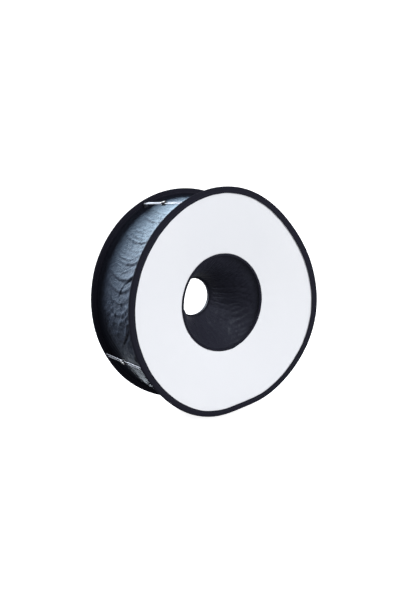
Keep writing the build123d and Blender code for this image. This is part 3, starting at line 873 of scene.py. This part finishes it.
def flash_sleeve():
    """Nylon tunnel for the flash, with a bound mouth and the hook-and-loop strap round it."""
    width, height = SLEEVE_HIGH.x - SLEEVE_LOW.x, SLEEVE_HIGH.z - SLEEVE_LOW.z
    middle_z = (SLEEVE_LOW.z + SLEEVE_HIGH.z) / 2
    outline = rounded_outline(width - 0.8 * MM, height - 0.8 * MM, 8.6 * MM)
    ys = np.linspace(SLEEVE_LOW.y, SLEEVE_HIGH.y - 0.3 * MM, 46)
    ease = 2 * MM
    past_front = np.clip((ys - STRAP_LOW.y + ease) / ease, 0, 1)
    before_rear = np.clip((STRAP_HIGH.y + ease - ys) / ease, 0, 1)
    strap_share = past_front * before_rear
    place = tube_places(outline, ys)
    folds = (creases(place, 0.018, 2.0) * 1.0 - 0.6) * MM
    lift = -np.abs(fractal(place, 0.03, 2, 3.0)) * 0.8 * MM + folds * 0.6
    lift = lift * (1 - strap_share) - 0.05 * MM
    lift += 0.3 * MM * (ys > SLEEVE_HIGH.y - 3.5 * MM)
    piece = tube_cloth("flash_sleeve_cloth", outline, ys, middle_z, lift)
    thicken(piece, 0.5 * MM)
    finish_cloth(piece, NYLON, "rear_frame", ("flash_sleeve",))

    # A strip of tape covers the seam between the sleeve and the panel.
    slope = (REAR_Y + 1.5 * MM) / (CLOTH_EDGE - COLLAR_RADIUS)
    x, z, nx, nz = rounded_outline(width, height, 9.0 * MM).T
    out = np.linspace(0.2, 6.5, 8) * MM
    px = x[:, None] + nx[:, None] * out
    pz = middle_z + z[:, None] + nz[:, None] * out
    panel_y = 1.3 * MM + (np.sqrt(px ** 2 + pz ** 2) - COLLAR_RADIUS) * slope
    collar_rise = 2.6 * MM * np.exp(-out / (1.2 * MM))
    tape_points = np.stack([px, panel_y + 0.9 * MM + collar_rise, pz], axis=-1)
    seam = grid_object("flash_sleeve_seam_tape", tape_points)
    thicken(seam, 0.5 * MM)
    finish_cloth(seam, TAPE, "rear_frame")

    strap_width, strap_height = STRAP_HIGH.x * 2 - 1.6 * MM, STRAP_HIGH.z - STRAP_LOW.z - 1.6 * MM
    strap_outline = rounded_outline(strap_width, strap_height, 9.9 * MM)
    strap_ys = np.linspace(STRAP_LOW.y, STRAP_HIGH.y, 20)
    waves = fractal(tube_places(strap_outline, strap_ys), 0.04, 2) * 0.25 * MM
    strap = tube_cloth("flash_strap_webbing", strap_outline, strap_ys, middle_z, waves)
    thicken(strap, 1.3 * MM)
    round_edges(strap, 0.35 * MM)
    finish_cloth(strap, LOOPS, "rear_frame", ("flash_strap",))
    strap_tail()


def round_edges(piece, radius):
    """Rounds a piece's sharp edges."""
    bevel = piece.modifiers.new("edges", "BEVEL")
    bevel.width = radius
    bevel.segments = 2
    bevel.limit_method = "ANGLE"
    apply_modifiers(piece)
    piece.data.polygons.foreach_set("use_smooth", [True] * len(piece.data.polygons))


def strap_tail():
    """The strap's free end, lying on the strap and lifting a little at its tip."""
    nu, nv = 40, 16
    u, v = np.meshgrid(np.linspace(-1, 1, nu), np.linspace(-1, 1, nv), indexing="ij")
    half_x, half_y = (TAIL_HIGH.x - TAIL_LOW.x) / 2, (TAIL_HIGH.y - TAIL_LOW.y) / 2
    # The tip is rounded: its width closes in over the last part of its length.
    narrowing = np.where(u > 0.72, np.sqrt(np.clip(1 - ((u - 0.72) / 0.34) ** 2, 0.05, 1)), 1.0)
    x = (TAIL_LOW.x + TAIL_HIGH.x) / 2 + u * half_x
    y = (TAIL_LOW.y + TAIL_HIGH.y) / 2 + v * half_y * narrowing
    z = TAIL_LOW.z + 0.7 * MM + np.clip(u - 0.55, 0, 1) ** 2 * 4.0 * MM
    tail = grid_object("flash_strap_tail_webbing", np.stack([x, y, z], axis=-1), wrap_u=False)
    thicken(tail, 1.2 * MM)
    round_edges(tail, 0.3 * MM)
    finish_cloth(tail, LOOPS, "rear_frame", ("flash_strap_tail",))


# ---- stage, lights and camera ------------------------------------------------------------------------------

def stage():
    """A plain pale floor that sweeps up into a backdrop, just under the hoops."""
    m = Shader("pale_paper")
    tone = m.noise(m.position(), 1.6, 3.0)
    m.put(m.surface, "Base Color", m.mix(tone, (0.90, 0.905, 0.915, 1), (0.93, 0.932, 0.94, 1)))
    m.set(Roughness=0.9, Specular_IOR_Level=0.1)
    m.set(Emission_Color=(1.0, 1.0, 1.0, 1.0), Emission_Strength=0.80)
    m.bumped((m.noise(m.position(), 60.0), 0.3 * MM, 0.1))
    floor_z = CAD_BOX[0][2] - 12 * MM
    width, near, depth, sweep, rise = 9.0, -4.0, 3.2, 1.2, 5.0
    swing = np.linspace(0, pi / 2, 24)
    y = np.concatenate([[near, 0.0], depth + sweep * np.sin(swing), [depth + sweep]])
    z = np.concatenate([[0.0, 0.0], sweep - sweep * np.cos(swing), [sweep + rise]]) + floor_z
    xs = np.linspace(-width, width, 3)
    shape = (len(xs), len(y))
    points = np.stack([np.broadcast_to(values, shape) for values in (xs[:, None], y, z)], axis=-1)
    # Turned to face the camera, so that the sweep's ends stay out of view.
    turn = radians(CAMERA_AZIMUTH)
    turned = points.copy()
    turned[..., 0] = points[..., 0] * cos(turn) - points[..., 1] * sin(turn)
    turned[..., 1] = points[..., 0] * sin(turn) + points[..., 1] * cos(turn)
    paper = grid_object("pale_floor", turned, wrap_u=False)
    paper.data.materials.append(m.material)
    # The paper doesn't throw its own brightness onto the cloth.
    paper.visible_diffuse = False
    paper.visible_glossy = False
    paper.visible_shadow = False


def softbox(name, place, aim, size, power, colour=(1.0, 1.0, 1.0), only=()):
    """A square area light, hidden from the camera. With only, it lights just those pieces."""
    data = bpy.data.lights.new(name, "AREA")
    data.shape = "RECTANGLE"
    data.size, data.size_y = size
    data.energy = power
    data.color = colour
    lamp = bpy.data.objects.new(name, data)
    bpy.context.collection.objects.link(lamp)
    lamp.location = place
    lamp.rotation_euler = (Vector(aim) - Vector(place)).to_track_quat("-Z", "Y").to_euler()
    lamp.visible_camera = False
    if only:
        lit = bpy.data.collections.new(f"{name}_lit")
        for piece in only:
            lit.objects.link(bpy.data.objects[piece])
        lamp.light_linking.receiver_collection = lit


def camera():
    """At the front left of the softbox, a little above it."""
    centre = Vector((0.0, (FRONT_Y + REAR_Y) / 2, 0.0))
    turn, lift = radians(CAMERA_AZIMUTH), radians(CAMERA_ELEVATION)
    away = Vector((sin(turn) * cos(lift), -cos(turn) * cos(lift), sin(lift)))
    data = bpy.data.cameras.new("camera")
    data.lens = CAMERA_LENS
    data.sensor_width = CAMERA_SENSOR
    data.shift_x, data.shift_y = CAMERA_SHIFT
    eye = bpy.data.objects.new("camera", data)
    bpy.context.collection.objects.link(eye)
    eye.location = centre + away * CAMERA_DISTANCE
    eye.rotation_euler = (-away).to_track_quat("-Z", "Y").to_euler()
    bpy.context.scene.camera = eye


def lights():
    """A soft studio. Two of the lamps light only the side wall's cloth, to bring its folds out."""
    world = bpy.data.worlds.new("studio")
    world.use_nodes = True
    background = world.node_tree.nodes["Background"]
    background.inputs["Color"].default_value = (0.96, 0.975, 1.0, 1.0)
    background.inputs["Strength"].default_value = 0.36
    bpy.context.scene.world = world
    drum, backdrop, drum_cloth = (-0.15, -0.05, 0.05), (1.4, 4.2, 0.6), ("side_wall_cloth",)
    softbox("front_key", (0.5, -2.8, 1.0), (0, -0.1, 0), (1.8, 1.8), 71.0)
    softbox("upper_rear", (-0.95, 1.80, 1.20), drum, (1.8, 1.3), 85.0, (0.90, 0.95, 1.0))
    softbox("drum_sheen", (-0.20, 1.35, 1.85), drum, (2.4, 2.0), 760.0, (0.68, 0.88, 1.0), only=drum_cloth)
    softbox("drum_sheen_low", (0.35, 1.70, -1.15), (-0.1, -0.05, -0.15), (0.9, 0.9), 34.0, (0.80, 0.90, 1.0),
            only=drum_cloth)
    softbox("backdrop_left", (-2.6, 1.2, 1.6), backdrop, (1.5, 1.5), 30.0)
    softbox("backdrop_right", (3.4, 1.6, 1.6), backdrop, (1.5, 1.5), 30.0)


# ---- everything --------------------------------------------------------------------------------------------

bpy.context.scene.view_settings.view_transform = "Standard"
camera()
stage()

NYLON, FUNNEL, TAPE, THREAD = nylon(), funnel_cloth(), tape(), thread()
DIFFUSER, SILVER, ELASTIC, LOOPS = diffuser_cloth(), silver_cloth(), elastic(), loops()
PLASTIC = black_plastic()
SPRING = bright_metal("spring_steel", (0.30, 0.33, 0.38), 0.28, (1.0, 1.0, 1.0))
BLACKENED = bright_metal("blackened_steel", (0.045, 0.047, 0.056), 0.42, (1.0, 1.0, 1.0))
WIRE = bright_metal("polished_wire", (0.24, 0.25, 0.28), 0.22, (1.0, 0.08, 1.0))
CAST = bright_metal("bright_clevis", (0.82, 0.83, 0.85), 0.20, (1.0, 0.4, 1.0))

binding("front_rim_tape", FRONT_Y, FOLD_RADIUS, TAPE_EDGE, TAPE_HALF, front_warp, "front_frame",
        ("front_binding",), 0.7 * MM, 0.35 * MM, spread=uneven_tape)
binding("rear_rim_tape", REAR_Y, FOLD_RADIUS, TAPE_EDGE, TAPE_HALF, rear_warp, "rear_frame",
        ("rear_binding",), 0.7 * MM, 0.35 * MM)
binding("hole_tape", HOLE_Y, HOLE_FOLD, HOLE_EDGE, HOLE_HALF, hole_warp, "front_frame",
        ("hole_binding",), 0.5 * MM, 0.2 * MM, 480)
STITCH_RADIUS, STITCH_FACE = TAPE_EDGE + 3.6 * MM, TAPE_HALF * 0.92
stitches("front_rim_stitching", FRONT_Y, STITCH_RADIUS, STITCH_FACE, front_warp, "front_frame")
stitches("rear_rim_stitching", REAR_Y, STITCH_RADIUS, STITCH_FACE, rear_warp, "rear_frame")
sprung_band("front_spring_band", FRONT_Y, front_warp, "front_frame", ("front_hoop", "front_hoop_ferrule"))
sprung_band("rear_spring_band", REAR_Y, rear_warp, "rear_frame", ("rear_hoop", "rear_hoop_ferrule"))
side_wall()
funnel()
front_diffuser()
rear_cloths()
collar()
flash_sleeve()

paint("hole_hoop", SPRING)
paint("hole_hoop_ferrule", BLACKENED)
paint("lens_collar_elastic", ELASTIC)
for side in ("front", "rear"):
    paint(f"{side}_strut_brackets", BLACKENED)
    paint(f"{side}_strut_rivets", BLACKENED)
for number in range(1, 5):
    paint(f"strut_{number}_rear_link", WIRE)
    paint(f"strut_{number}_front_link", WIRE)
    paint(f"strut_{number}_clevis", CAST)
    paint(f"strut_{number}_knuckle", PLASTIC)
    paint(f"strut_{number}_pins", CAST)

lights()
